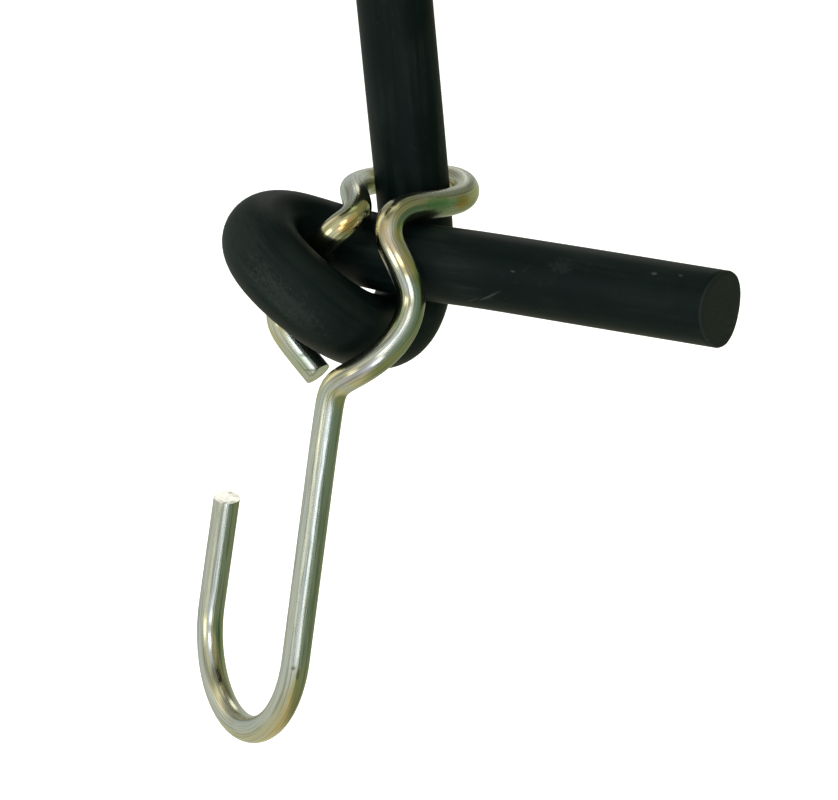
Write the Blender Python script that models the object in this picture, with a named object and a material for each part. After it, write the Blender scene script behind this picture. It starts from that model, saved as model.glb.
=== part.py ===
"""Rubber rope tie with a bent wire hook looped on each end.

Two equal wire hooks are tied on one solid rubber rope.  Each hook is a single
wire: a J that takes the load, an S bend that lies over the rope's tail, a ring
round the standing rope and a curl that passes down through the rope's loop.

The row frame has its origin where the upper hook's bowl sits on a rail, and +Z
runs up along the straight rope.  The lower hook's bowl is straight below it.
"""

import math

import bpy
import numpy as np
from mathutils import Matrix, Vector

MM = 0.001

# Driving dimensions, in metres and radians.
ROPE_DIAMETER = 9.5 * MM
WIRE_DIAMETER = 3.5 * MM
TOUCH_GAP = 0.3 * MM
RING_SPACING = 38.0 * MM
SPAN_END_CLEARANCE = 9.0 * MM
TAIL_LENGTH = 30.8 * MM
HOOK_OPENING = 21.0 * MM
SHANK_LENGTH = 26.5 * MM
TIP_LENGTH = 14.7 * MM
SHANK_LEAN_RIGHT = 0.24
SHANK_LEAN_BACK = 0.21
HOOK_PLANE_ANGLE = math.radians(61.5)
TIP_SPLAY = math.radians(-2.0)

# Sampling of the tubes.
WIRE_STEP = 1.5 * MM
ROPE_STEP = 3.6 * MM
BOWL_STEPS = 20
TUBE_BEVEL_RESOLUTION = 4

# A knot pulled tight is as large as its tighter contact makes it: rope lying on
# rope, or wire lying on rope.  The routes below are drawn for a 9.5 mm rope and
# a 3.5 mm wire, in millimetres from the ring's centre on the standing rope.
DRAWN_ROPE_ON_ROPE = 9.8 * MM
DRAWN_WIRE_ON_ROPE = 6.8 * MM
ROPE_ON_ROPE = ROPE_DIAMETER + TOUCH_GAP
WIRE_ON_ROPE = (ROPE_DIAMETER + WIRE_DIAMETER) / 2 + TOUCH_GAP
KNOT_SCALE = max(ROPE_ON_ROPE / DRAWN_ROPE_ON_ROPE, WIRE_ON_ROPE / DRAWN_WIRE_ON_ROPE)

# The rope comes down its standing part, turns under its own tail, rises in front
# and to the left, turns back behind itself and crosses in front of the standing
# part as the tail.
LOOP_ROUTE = [
    (0.0, 0.0, 9.0),
    (0.0, 0.0, 4.0),
    (0.0, 0.0, -2.0),
    (-0.1, 0.6, -10.1),
    (-1.6, -2.1, -15.3),
    (-4.3, -6.4, -17.2),
    (-7.2, -10.7, -15.4),
    (-9.5, -17.2, -12.4),
    (-14.1, -20.6, -7.2),
    (-18.5, -17.7, -2.7),
    (-19.6, -11.4, -0.9),
    (-16.3, -5.8, -2.0),
    (-10.5, -4.5, -5.2),
    (-4.5, -8.7, -5.9),
    (0.2, -11.4, -6.9),
    (6.7, -11.8, -8.3),
]
TAIL_DIRECTION = (0.947, -0.263, -0.186)

# The wire leaves the shank, climbs over the loop and the tail, goes round the
# standing part as the ring, turns back at the left and passes down through the
# loop, to end under it.
HEAD_ROUTE = [
    (-13.9, -22.4, -26.1),
    (-12.7, -21.3, -21.3),
    (-11.9, -20.8, -18.4),
    (-9.1, -22.3, -16.9),
    (-5.3, -22.0, -15.0),
    (-2.3, -19.9, -12.4),
    (-1.2, -18.5, -9.0),
    (-1.8, -18.3, -6.3),
    (-2.8, -17.3, -4.0),
    (-3.6, -16.1, -2.3),
    (-3.3, -15.0, -0.3),
    (-1.7, -13.2, 0.5),
    (0.9, -10.5, 0.0),
    (3.8, -7.0, -0.9),
    (6.4, -3.3, -1.4),
    (7.0, 1.0, -1.1),
    (5.7, 5.0, -0.8),
    (2.1, 7.2, -0.9),
    (-2.3, 7.2, -0.5),
    (-5.7, 5.1, 0.0),
    (-7.1, 1.1, 0.5),
    (-7.5, -3.7, 1.3),
    (-7.2, -8.3, 1.5),
    (-6.7, -11.8, 0.8),
    (-7.6, -13.8, 0.0),
    (-9.7, -14.4, -0.9),
    (-11.4, -13.9, -2.5),
    (-12.2, -12.8, -4.9),
    (-13.5, -11.9, -7.1),
    (-16.0, -11.7, -8.6),
    (-17.8, -12.6, -10.4),
    (-17.9, -13.7, -12.6),
    (-16.2, -14.3, -15.4),
    (-13.9, -14.6, -19.0),
]

RUBBER_COLOR = (0.012, 0.015, 0.014, 1.0)
ZINC_COLOR = (0.72, 0.70, 0.60, 1.0)


def clear_scene():
    """Remove every object that the file holds."""
    for obj in list(bpy.data.objects):
        bpy.data.objects.remove(obj, do_unlink=True)


def make_material(name, color, roughness, metallic):
    """Return a Principled material."""
    material = bpy.data.materials.new(name)
    material.use_nodes = True
    shader = material.node_tree.nodes["Principled BSDF"]
    shader.inputs["Base Color"].default_value = color
    shader.inputs["Roughness"].default_value = roughness
    shader.inputs["Metallic"].default_value = metallic
    return material


def unit(vector):
    """Return the vector at length one."""
    return vector / np.linalg.norm(vector)


def smooth_curve(route, steps=24):
    """Return fine points along the cubic B-spline of a route, ends included."""
    points = np.array(route, float)
    before = 2 * points[0] - points[1]
    after = 2 * points[-1] - points[-2]
    control = np.vstack([before, points, after])
    curve = []
    for a, b, c, d in zip(control, control[1:], control[2:], control[3:]):
        for u in np.linspace(0.0, 1.0, steps, endpoint=False):
            weights = ((1 - u) ** 3, 3 * u**3 - 6 * u**2 + 4, -3 * u**3 + 3 * u**2 + 3 * u + 1, u**3)
            curve.append((weights[0] * a + weights[1] * b + weights[2] * c + weights[3] * d) / 6)
    curve.append(points[-1])
    return np.array(curve)


def even_points(curve, step):
    """Return points along a fine curve, equally spaced by about the step."""
    lengths = np.linalg.norm(np.diff(curve, axis=0), axis=1)
    along = np.concatenate([[0.0], np.cumsum(lengths)])
    count = max(2, round(along[-1] / step) + 1)
    stations = np.linspace(0.0, along[-1], count)
    return np.column_stack([np.interp(stations, along, curve[:, axis]) for axis in range(3)])


def knot_route(route):
    """Return a drawn route at the knot's real size, in metres."""
    return np.array(route) * MM * KNOT_SCALE


def loop_points():
    """Return the rope's centre line from the span's lower end to the tail's cut end."""
    route = knot_route(LOOP_ROUTE)
    route[0, 2] = SPAN_END_CLEARANCE
    tail_start = route[-1]
    tail_end = tail_start + unit(np.array(TAIL_DIRECTION)) * TAIL_LENGTH
    tail = [tail_start + (tail_end - tail_start) * share for share in (0.25, 0.5, 0.75, 1.0)]
    return even_points(smooth_curve(np.vstack([route, tail])), ROPE_STEP)


def hook_axes():
    """Return the shank's upward direction and the direction from the shank to the tip leg."""
    up = unit(np.array([SHANK_LEAN_RIGHT, SHANK_LEAN_BACK, 1.0]))
    across = np.array([-math.cos(HOOK_PLANE_ANGLE), math.sin(HOOK_PLANE_ANGLE), 0.0])
    return up, unit(across - up * np.dot(across, up))


def bowl_center(shank_top):
    """Return the centre of the bowl's arc."""
    up, across = hook_axes()
    return shank_top - up * SHANK_LENGTH + across * (HOOK_OPENING + WIRE_DIAMETER) / 2


def hook_points():
    """Return the wire's centre line from the tip to the curl's cut end."""
    up, across = hook_axes()
    head = smooth_curve(knot_route(HEAD_ROUTE))
    center = bowl_center(head[0])
    radius = (HOOK_OPENING + WIRE_DIAMETER) / 2
    angles = np.linspace(math.pi - TIP_SPLAY, 0.0, BOWL_STEPS + 1)
    bowl = [center - across * radius * math.cos(angle) - up * radius * math.sin(angle) for angle in angles]
    rise = across * math.sin(TIP_SPLAY) + up * math.cos(TIP_SPLAY)
    tip = bowl[0] + rise * TIP_LENGTH
    return np.vstack([[tip], bowl, even_points(head, WIRE_STEP)])


def seat_point():
    """Return the lowest point of the bowl's inner side."""
    up, _ = hook_axes()
    head_start = knot_route(HEAD_ROUTE)[0]
    return bowl_center(head_start) - up * HOOK_OPENING / 2


def make_tube(name, points, diameter, parent, material, collection):
    """Return a round tube along the points, in its parent's frame."""
    data = bpy.data.curves.new(name, "CURVE")
    data.dimensions = "3D"
    data.bevel_depth = diameter / 2
    data.bevel_resolution = TUBE_BEVEL_RESOLUTION
    data.use_fill_caps = True
    spline = data.splines.new("POLY")
    spline.points.add(len(points) - 1)
    spline.use_smooth = True
    for place, point in zip(spline.points, points):
        place.co = (*point, 1.0)
    data.materials.append(material)
    tube = bpy.data.objects.new(name, data)
    tube.parent = parent
    collection.objects.link(tube)
    return tube


def make_knot_frame(name, matrix, collection):
    """Return an empty at a ring's centre, on the standing rope's axis."""
    frame = bpy.data.objects.new(name, None)
    frame.empty_display_size = ROPE_DIAMETER
    frame.matrix_world = matrix
    collection.objects.link(frame)
    return frame


def knot_matrices():
    """Return where the lower and the upper knot stand in the row frame."""
    seat = Vector(seat_point())
    sideways = Vector((seat.x, seat.y, 0.0))
    turn = Matrix.Rotation(math.pi, 4, sideways.normalized())
    upper_center = -(turn @ seat)
    lower_center = upper_center - Vector((0.0, 0.0, RING_SPACING))
    return Matrix.Translation(lower_center), Matrix.Translation(upper_center) @ turn


def main():
    clear_scene()
    parts = bpy.data.collections.new("rubber_rope_hook_tie")
    bpy.context.scene.collection.children.link(parts)
    rubber = make_material("black_rubber", RUBBER_COLOR, 0.45, 0.0)
    zinc = make_material("yellow_zinc", ZINC_COLOR, 0.28, 1.0)

    lower_matrix, upper_matrix = knot_matrices()
    lower_knot = make_knot_frame("lower_knot_frame", lower_matrix, parts)
    upper_knot = make_knot_frame("upper_knot_frame", upper_matrix, parts)

    wire = hook_points()
    loop = loop_points()
    for label, knot in (("lower", lower_knot), ("upper", upper_knot)):
        make_tube(f"{label}_hook", wire, WIRE_DIAMETER, knot, zinc, parts)
        make_tube(f"rope_{label}_loop", loop, ROPE_DIAMETER, knot, rubber, parts)

    span_start = SPAN_END_CLEARANCE + TOUCH_GAP
    span_end = RING_SPACING - SPAN_END_CLEARANCE - TOUCH_GAP
    span = np.array([(0.0, 0.0, span_start), (0.0, 0.0, span_end)])
    make_tube("rope_span", span, ROPE_DIAMETER, lower_knot, rubber, parts)


main()
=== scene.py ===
"""Looks of a rubber rope tie with a bent wire hook looped on each end.

One solid rubber rope runs from the upper tail, through both loops, to the lower
tail.  Two equal wire hooks are made by sweeping the wire's round section along
its route, and their ends are sheared.  Lengths are in metres, in the row frame.
"""

import logging
import math
from collections.abc import Callable
from dataclasses import dataclass, field
from enum import Enum
from typing import ClassVar

import bpy
import numpy as np
from mathutils import Matrix, Vector
from mathutils.kdtree import KDTree

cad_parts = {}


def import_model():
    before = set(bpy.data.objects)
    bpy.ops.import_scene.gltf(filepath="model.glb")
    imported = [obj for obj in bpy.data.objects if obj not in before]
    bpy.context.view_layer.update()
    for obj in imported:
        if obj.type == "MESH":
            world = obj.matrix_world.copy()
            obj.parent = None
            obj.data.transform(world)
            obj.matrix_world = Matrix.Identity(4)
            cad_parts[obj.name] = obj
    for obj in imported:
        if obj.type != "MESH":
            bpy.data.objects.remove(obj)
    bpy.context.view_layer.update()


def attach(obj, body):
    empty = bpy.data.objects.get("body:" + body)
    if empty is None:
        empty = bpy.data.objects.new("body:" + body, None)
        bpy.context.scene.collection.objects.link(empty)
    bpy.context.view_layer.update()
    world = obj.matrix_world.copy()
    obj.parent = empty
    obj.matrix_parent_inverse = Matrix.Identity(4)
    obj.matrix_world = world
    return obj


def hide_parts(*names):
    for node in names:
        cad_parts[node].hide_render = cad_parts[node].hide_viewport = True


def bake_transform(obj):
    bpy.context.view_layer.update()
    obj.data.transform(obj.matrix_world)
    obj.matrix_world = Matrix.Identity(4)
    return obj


LOG = logging.getLogger("rope_tie")
MM = 0.001
ALONG_NAME = "straight"
BEND_NAME = "bend"
UPRIGHT = 0.8
LEAST_TURN = 1e-7
MERGE_DISTANCE = 1e-7
ON_CUT = 0.99
NEAR_CUT = 0.8
RELIEF = 0.06 * MM
CUT_RELIEF = 0.15 * MM

Color = tuple[float, float, float, float]
Point = tuple[float, float, float]
Socket = bpy.types.NodeSocket
Stops = tuple[tuple[float, float, float, float], ...]

# Both routes are in millimetres from the ring's centre on the standing rope: the
# rope's way through the lower knot, from the span down to the tail, and the
# wire's way from the top of the shank to the curl's cut end.
LOOP_ROUTE: list[Point] = [
    (0.0, 0.0, 9.0),
    (0.0, 0.0, 4.0),
    (0.0, 0.0, -2.0),
    (-0.1, 0.6, -10.1),
    (-1.6, -2.1, -15.3),
    (-4.3, -6.4, -17.2),
    (-7.2, -10.7, -15.4),
    (-9.5, -17.2, -12.4),
    (-14.1, -20.6, -7.2),
    (-18.5, -17.7, -2.7),
    (-19.6, -11.4, -0.9),
    (-16.3, -5.8, -2.0),
    (-10.5, -4.5, -5.2),
    (-4.5, -8.7, -5.9),
    (0.2, -11.4, -6.9),
    (6.7, -11.8, -8.3),
]
HEAD_ROUTE: list[Point] = [
    (-13.9, -22.4, -26.1),
    (-12.7, -21.3, -21.3),
    (-11.9, -20.8, -18.4),
    (-9.1, -22.3, -16.9),
    (-5.3, -22.0, -15.0),
    (-2.3, -19.9, -12.4),
    (-1.2, -18.5, -9.0),
    (-1.8, -18.3, -6.3),
    (-2.8, -17.3, -4.0),
    (-3.6, -16.1, -2.3),
    (-3.3, -15.0, -0.3),
    (-1.7, -13.2, 0.5),
    (0.9, -10.5, 0.0),
    (3.8, -7.0, -0.9),
    (6.4, -3.3, -1.4),
    (7.0, 1.0, -1.1),
    (5.7, 5.0, -0.8),
    (2.1, 7.2, -0.9),
    (-2.3, 7.2, -0.5),
    (-5.7, 5.1, 0.0),
    (-7.1, 1.1, 0.5),
    (-7.5, -3.7, 1.3),
    (-7.2, -8.3, 1.5),
    (-6.7, -11.8, 0.8),
    (-7.6, -13.8, 0.0),
    (-9.7, -14.4, -0.9),
    (-11.4, -13.9, -2.5),
    (-12.2, -12.8, -4.9),
    (-13.5, -11.9, -7.1),
    (-16.0, -11.7, -8.6),
    (-17.8, -12.6, -10.4),
    (-17.9, -13.7, -12.6),
    (-16.2, -14.3, -15.4),
    (-13.9, -14.6, -19.0),
]
TAIL_DIRECTION: Point = (0.947, -0.263, -0.186)


class Body(Enum):
    """The moving bodies that pieces ride on."""

    UPPER_HOOK = "upper_hook"
    ROPE_TOP = "rope_top"
    ROPE_BOTTOM = "rope_bottom"
    LOWER_HOOK = "lower_hook"


class Slot(Enum):
    """The finishes that a scene can repaint."""

    ZINC_WIRE = "zinc_wire"
    BLACK_RUBBER = "black_rubber"


def unit(vector: np.ndarray) -> np.ndarray:
    """Return the vector at length one."""
    return vector / np.linalg.norm(vector)


def smooth_curve(route: np.ndarray, steps: int = 24) -> np.ndarray:
    """Lay a cubic B-spline on a route.

    Args:
        route: The control points, one to a row.
        steps: Points made for each control point.

    Returns:
        Fine points along the curve, ends included.
    """
    before = 2 * route[0] - route[1]
    after = 2 * route[-1] - route[-2]
    control = np.vstack([before, route, after])
    u = np.linspace(0.0, 1.0, steps, endpoint=False)[:, None]
    weights = ((1 - u) ** 3, 3 * u**3 - 6 * u**2 + 4, -3 * u**3 + 3 * u**2 + 3 * u + 1, u**3)
    pieces = []
    for four in zip(control, control[1:], control[2:], control[3:]):
        pieces.append(sum(weight * point for weight, point in zip(weights, four)) / 6)
    pieces.append(route[-1:])
    return np.vstack(pieces)


def even_points(curve: np.ndarray, step: float) -> np.ndarray:
    """Space points out evenly along a fine curve.

    Args:
        curve: The fine curve, one point to a row.
        step: About how far apart the points are.

    Returns:
        The points, ends included.
    """
    lengths = np.linalg.norm(np.diff(curve, axis=0), axis=1)
    along = np.concatenate([[0.0], np.cumsum(lengths)])
    count = max(2, round(along[-1] / step) + 1)
    stations = np.linspace(0.0, along[-1], count)
    return np.column_stack([np.interp(stations, along, curve[:, axis]) for axis in range(3)])


@dataclass
class Path:
    """A centre line with a frame at each point that turns as little as it can."""

    points: np.ndarray
    tangents: np.ndarray = field(init=False)
    normals: np.ndarray = field(init=False)
    sides: np.ndarray = field(init=False)
    along: np.ndarray = field(init=False)
    bends: np.ndarray = field(init=False)

    def __post_init__(self) -> None:
        """Work out the frames, the distance along the line and how it bends."""
        steps = np.diff(self.points, axis=0)
        lengths = np.linalg.norm(steps, axis=1)
        self.along = np.concatenate([[0.0], np.cumsum(lengths)])
        tangents = np.gradient(self.points, self.along, axis=0)
        self.tangents = tangents / np.linalg.norm(tangents, axis=1)[:, None]
        self.bends = np.gradient(self.tangents, self.along, axis=0)
        upright = abs(self.tangents[0][2]) > UPRIGHT
        first = np.array([1.0, 0.0, 0.0] if upright else [0.0, 0.0, 1.0])
        normal = unit(first - self.tangents[0] * np.dot(first, self.tangents[0]))
        normals = [normal]
        for tangent in self.tangents[1:]:
            normal = unit(normal - tangent * np.dot(normal, tangent))
            normals.append(normal)
        self.normals = np.array(normals)
        self.sides = np.cross(self.tangents, self.normals)

    @property
    def length(self) -> float:
        """Return the length of the line."""
        return float(self.along[-1])

    def straighten(self, places: np.ndarray) -> tuple[np.ndarray, np.ndarray]:
        """Say where points would be if the line were pulled straight.

        Args:
            places: Points near the line, one to a row.

        Returns:
            For each point its two offsets from the line and its distance along
            it, and how strongly the line bends away from the point there.
        """
        tree = KDTree(len(self.points))
        for index, point in enumerate(self.points):
            tree.insert(point, index)
        tree.balance()
        nearest = np.array([tree.find(place)[1] for place in places])
        offsets = places - self.points[nearest]
        ahead = np.sum(offsets * self.tangents[nearest], axis=1)
        across = np.sum(offsets * self.normals[nearest], axis=1)
        aside = np.sum(offsets * self.sides[nearest], axis=1)
        bend = -np.sum(offsets * self.bends[nearest], axis=1)
        straight = np.column_stack([across, aside, self.along[nearest] + ahead])
        return straight, bend


@dataclass(frozen=True)
class KnotLayout:
    """Where the two knots and the hooks' bowls are."""

    rope_diameter: float = 9.5 * MM
    wire_diameter: float = 3.5 * MM
    ring_spacing: float = 38.0 * MM
    span_clearance: float = 9.0 * MM
    tail_length: float = 30.8 * MM
    hook_opening: float = 21.0 * MM
    shank_length: float = 26.5 * MM
    tip_length: float = 14.7 * MM
    shank_lean_right: float = 0.24
    shank_lean_back: float = 0.21
    hook_plane_angle: float = math.radians(61.5)
    tip_splay: float = math.radians(-2.0)

    def hook_axes(self) -> tuple[np.ndarray, np.ndarray]:
        """Work out how the hook stands.

        Returns:
            The shank's upward direction, and the direction from it to the tip leg.
        """
        up = unit(np.array([self.shank_lean_right, self.shank_lean_back, 1.0]))
        across = np.array([-math.cos(self.hook_plane_angle), math.sin(self.hook_plane_angle), 0.0])
        return up, unit(across - up * np.dot(across, up))

    @property
    def bowl_radius(self) -> float:
        """Return the radius of the bowl's centre line."""
        return (self.hook_opening + self.wire_diameter) / 2

    def shank_top(self) -> np.ndarray:
        """Return the shank's upper end, from the ring's centre."""
        return np.array(HEAD_ROUTE[0]) * MM

    def bowl_center(self) -> np.ndarray:
        """Return the centre of the bowl's arc, from the ring's centre."""
        up, across = self.hook_axes()
        return self.shank_top() - up * self.shank_length + across * self.bowl_radius

    def seat(self) -> np.ndarray:
        """Return the lowest point of the bowl's inner side, from the ring's centre."""
        up, _ = self.hook_axes()
        return self.bowl_center() - up * self.hook_opening / 2

    def matrices(self) -> tuple[Matrix, Matrix]:
        """Work out where the knots stand in the row frame.

        Returns:
            The upper knot's matrix and the lower knot's.
        """
        seat = Vector(self.seat())
        sideways = Vector((seat.x, seat.y, 0.0))
        turn = Matrix.Rotation(math.pi, 4, sideways.normalized())
        upper = Matrix.Translation(-(turn @ seat)) @ turn
        lower_place = upper.translation - Vector((0.0, 0.0, self.ring_spacing))
        return upper, Matrix.Translation(lower_place)


def placed(points: np.ndarray, matrix: Matrix) -> np.ndarray:
    """Return points moved by a matrix."""
    values = np.array(matrix, float)
    return points @ values[:3, :3].T + values[:3, 3]


class Nodes:
    """Builds one node tree, with short calls that add and join nodes."""

    def __init__(self, tree: bpy.types.NodeTree) -> None:
        """Keep the tree and start laying nodes out from the left."""
        self.tree = tree
        self.column = 0

    def add(self, kind: str, settings: dict | None = None, **inputs: object) -> bpy.types.Node:
        """Add a node.

        Args:
            kind: The node's type.
            settings: Properties to set on the node itself.
            **inputs: Socket values or output sockets; an underscore is a space.

        Returns:
            The new node.
        """
        node = self.tree.nodes.new(kind)
        node.location = (220 * self.column - 1800, -40 * (self.column % 5))
        self.column += 1
        for key, value in (settings or {}).items():
            setattr(node, key, value)
        for key, value in inputs.items():
            self.feed(node, key.replace("_", " "), value)
        return node

    def feed(self, node: bpy.types.Node, name: str | int, value: object) -> None:
        """Link an output socket to an input, or set the input's value.

        Args:
            node: The node that takes the value.
            name: The input's name or number.
            value: The value, or the socket that gives it.
        """
        socket = node.inputs[name]
        if isinstance(value, Socket):
            self.tree.links.new(value, socket)
        else:
            socket.default_value = value

    def stored(self, name: str, output: str) -> Socket:
        """Return what is stored on the mesh under a name."""
        return self.add("ShaderNodeAttribute", {"attribute_name": name}).outputs[output]

    def math(
        self, operation: str, first: object, second: object = 0.0, clamp: bool = False
    ) -> Socket:
        """Add a Math node.

        Args:
            operation: What the node does.
            first: The first value or socket.
            second: The second one, where the operation takes two.
            clamp: Whether the result is kept between 0 and 1.

        Returns:
            The result.
        """
        node = self.add("ShaderNodeMath", {"operation": operation, "use_clamp": clamp})
        self.feed(node, 0, first)
        self.feed(node, 1, second)
        return node.outputs[0]

    def times(self, first: object, second: object) -> Socket:
        """Return the product of two values."""
        return self.math("MULTIPLY", first, second)

    def plus(self, first: object, second: object, clamp: bool = False) -> Socket:
        """Return the sum of two values."""
        return self.math("ADD", first, second, clamp)

    def vector(
        self, operation: str, first: object, second: object, output: str = "Vector"
    ) -> Socket:
        """Add a Vector Math node.

        Args:
            operation: What the node does.
            first: The first vector or socket.
            second: The second one.
            output: The output to return.

        Returns:
            The result.
        """
        node = self.add("ShaderNodeVectorMath", {"operation": operation})
        self.feed(node, 0, first)
        self.feed(node, 1, second)
        return node.outputs[output]

    def ramp(
        self, value: object, low: object, high: object, to_low: float = 0.0, to_high: float = 1.0
    ) -> Socket:
        """Add a Map Range node that rises smoothly between two limits.

        Args:
            value: The value or socket to map.
            low: Where the rise starts.
            high: Where it ends.
            to_low: The result before the rise.
            to_high: The result after it.

        Returns:
            The mapped value.
        """
        node = self.add("ShaderNodeMapRange", {"interpolation_type": "SMOOTHSTEP"}, Value=value)
        limits = {"From Min": low, "From Max": high, "To Min": to_low, "To Max": to_high}
        for name, limit in limits.items():
            self.feed(node, name, limit)
        return node.outputs[0]

    def mix(self, share: object, first: object, second: object) -> Socket:
        """Add a colour Mix node.

        Args:
            share: How much of the second colour shows.
            first: The first colour or socket.
            second: The second one.

        Returns:
            The mixed colour.
        """
        node = self.add("ShaderNodeMix", {"data_type": "RGBA"})
        for number, value in ((0, share), (6, first), (7, second)):
            self.feed(node, number, value)
        return node.outputs[2]


def new_group(
    name: str, inputs: dict[str, tuple[str, object]], outputs: dict[str, str]
) -> tuple[Nodes, dict[str, Socket], bpy.types.Node]:
    """Start a shader node group.

    Args:
        name: The group's name.
        inputs: Each input's socket kind and value, by name.
        outputs: Each output's socket kind, by name.

    Returns:
        The builder, the group's inputs by name and the group output node.
    """
    tree = bpy.data.node_groups.new(name, "ShaderNodeTree")
    for label, (kind, value) in inputs.items():
        socket = tree.interface.new_socket(label, in_out="INPUT", socket_type=f"NodeSocket{kind}")
        if value is not None:
            socket.default_value = value
    for label, kind in outputs.items():
        tree.interface.new_socket(label, in_out="OUTPUT", socket_type=f"NodeSocket{kind}")
    nodes = Nodes(tree)
    entry = nodes.add("NodeGroupInput")
    result = nodes.add("NodeGroupOutput")
    return nodes, {label: entry.outputs[label] for label in inputs}, result


class SharedEffects:
    """The surface effects that both finishes use, each made once as a group."""

    def __init__(self) -> None:
        """Build every group."""
        self.streaks = self.build_streaks()
        self.mottle = self.build_mottle()
        self.mark = self.build_mark()
        self.specks = self.build_specks()

    def build_streaks(self) -> bpy.types.NodeTree:
        """Make fine lines that run along a drawn wire or an extruded rope.

        Returns:
            The group.
        """
        nodes, given, result = new_group(
            "length_streaks",
            {"Vector": ("Vector", None), "Across": ("Float", 3000.0), "Along": ("Float", 60.0)},
            {"Value": "Float"},
        )
        scale = nodes.add("ShaderNodeCombineXYZ", X=given["Across"], Y=given["Across"])
        nodes.feed(scale, "Z", given["Along"])
        place = nodes.vector("MULTIPLY", given["Vector"], scale.outputs[0])
        noise = nodes.add("ShaderNodeTexNoise", Vector=place, Scale=1.0, Detail=3.0, Roughness=0.6)
        nodes.feed(result, "Value", noise.outputs[0])
        return nodes.tree

    def build_mottle(self) -> bpy.types.NodeTree:
        """Make soft patches of uneven size.

        Returns:
            The group.
        """
        nodes, given, result = new_group(
            "mottle",
            {
                "Vector": ("Vector", None),
                "Scale": ("Float", 100.0),
                "Low": ("Float", 0.4),
                "High": ("Float", 0.7),
                "Warp": ("Float", 0.5),
            },
            {"Mask": "Float"},
        )
        noise = nodes.add(
            "ShaderNodeTexNoise",
            Vector=given["Vector"],
            Scale=given["Scale"],
            Detail=4.0,
            Roughness=0.55,
            Distortion=given["Warp"],
        )
        nodes.feed(result, "Mask", nodes.ramp(noise.outputs[0], given["Low"], given["High"]))
        return nodes.tree

    def build_mark(self) -> bpy.types.NodeTree:
        """Make one broken-up patch round a point, stretched along a direction.

        Returns:
            The group.
        """
        nodes, given, result = new_group(
            "place_mark",
            {
                "Vector": ("Vector", None),
                "Centre": ("Vector", None),
                "Direction": ("Vector", None),
                "Width": ("Float", 0.002),
                "Length": ("Float", 0.006),
                "Grain": ("Float", 900.0),
                "Ragged": ("Float", 0.5),
            },
            {"Mask": "Float"},
        )
        away = nodes.vector("SUBTRACT", given["Vector"], given["Centre"])
        along = nodes.vector("DOT_PRODUCT", away, given["Direction"], "Value")
        line = nodes.add("ShaderNodeVectorMath", {"operation": "SCALE"}, Scale=along)
        nodes.feed(line, 0, given["Direction"])
        off = nodes.vector("DISTANCE", away, line.outputs[0], "Value")
        across = nodes.math("DIVIDE", off, given["Width"])
        ahead = nodes.math("DIVIDE", along, given["Length"])
        far = nodes.math("SQRT", nodes.plus(nodes.times(across, across), nodes.times(ahead, ahead)))
        noise = nodes.add("ShaderNodeTexNoise", Vector=given["Vector"], Detail=4.0, Roughness=0.65)
        nodes.feed(noise, "Scale", given["Grain"])
        ragged = nodes.times(nodes.math("SUBTRACT", noise.outputs[0], 0.5), given["Ragged"])
        edge = nodes.plus(far, nodes.times(ragged, 2.0))
        nodes.feed(result, "Mask", nodes.ramp(edge, 1.0, 0.35))
        return nodes.tree

    def build_specks(self) -> bpy.types.NodeTree:
        """Make small scattered dots of dust or pits.

        Returns:
            The group.
        """
        nodes, given, result = new_group(
            "specks",
            {
                "Vector": ("Vector", None),
                "Scale": ("Float", 900.0),
                "Size": ("Float", 0.12),
                "Share": ("Float", 0.8),
            },
            {"Mask": "Float"},
        )
        cells = nodes.add("ShaderNodeTexVoronoi", Vector=given["Vector"], Scale=given["Scale"])
        chance = nodes.add("ShaderNodeSeparateColor", Color=cells.outputs["Color"])
        picked = nodes.math("GREATER_THAN", chance.outputs[0], given["Share"])
        near = nodes.math("LESS_THAN", cells.outputs["Distance"], given["Size"])
        nodes.feed(result, "Mask", nodes.times(picked, near))
        return nodes.tree


@dataclass(frozen=True)
class Mark:
    """One mark on a surface: where it is, which way it runs and how big it is."""

    centre: Point
    direction: Point
    width: float
    length: float
    strength: float
    grain: float = 900.0
    ragged: float = 0.5
    color: Color = (0.5, 0.5, 0.5, 1.0)

    def shape(self) -> dict[str, object]:
        """Return the inputs that the mark's group takes."""
        names = ("centre", "direction", "width", "length", "grain", "ragged")
        return {name.capitalize(): getattr(self, name) for name in names}


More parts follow.
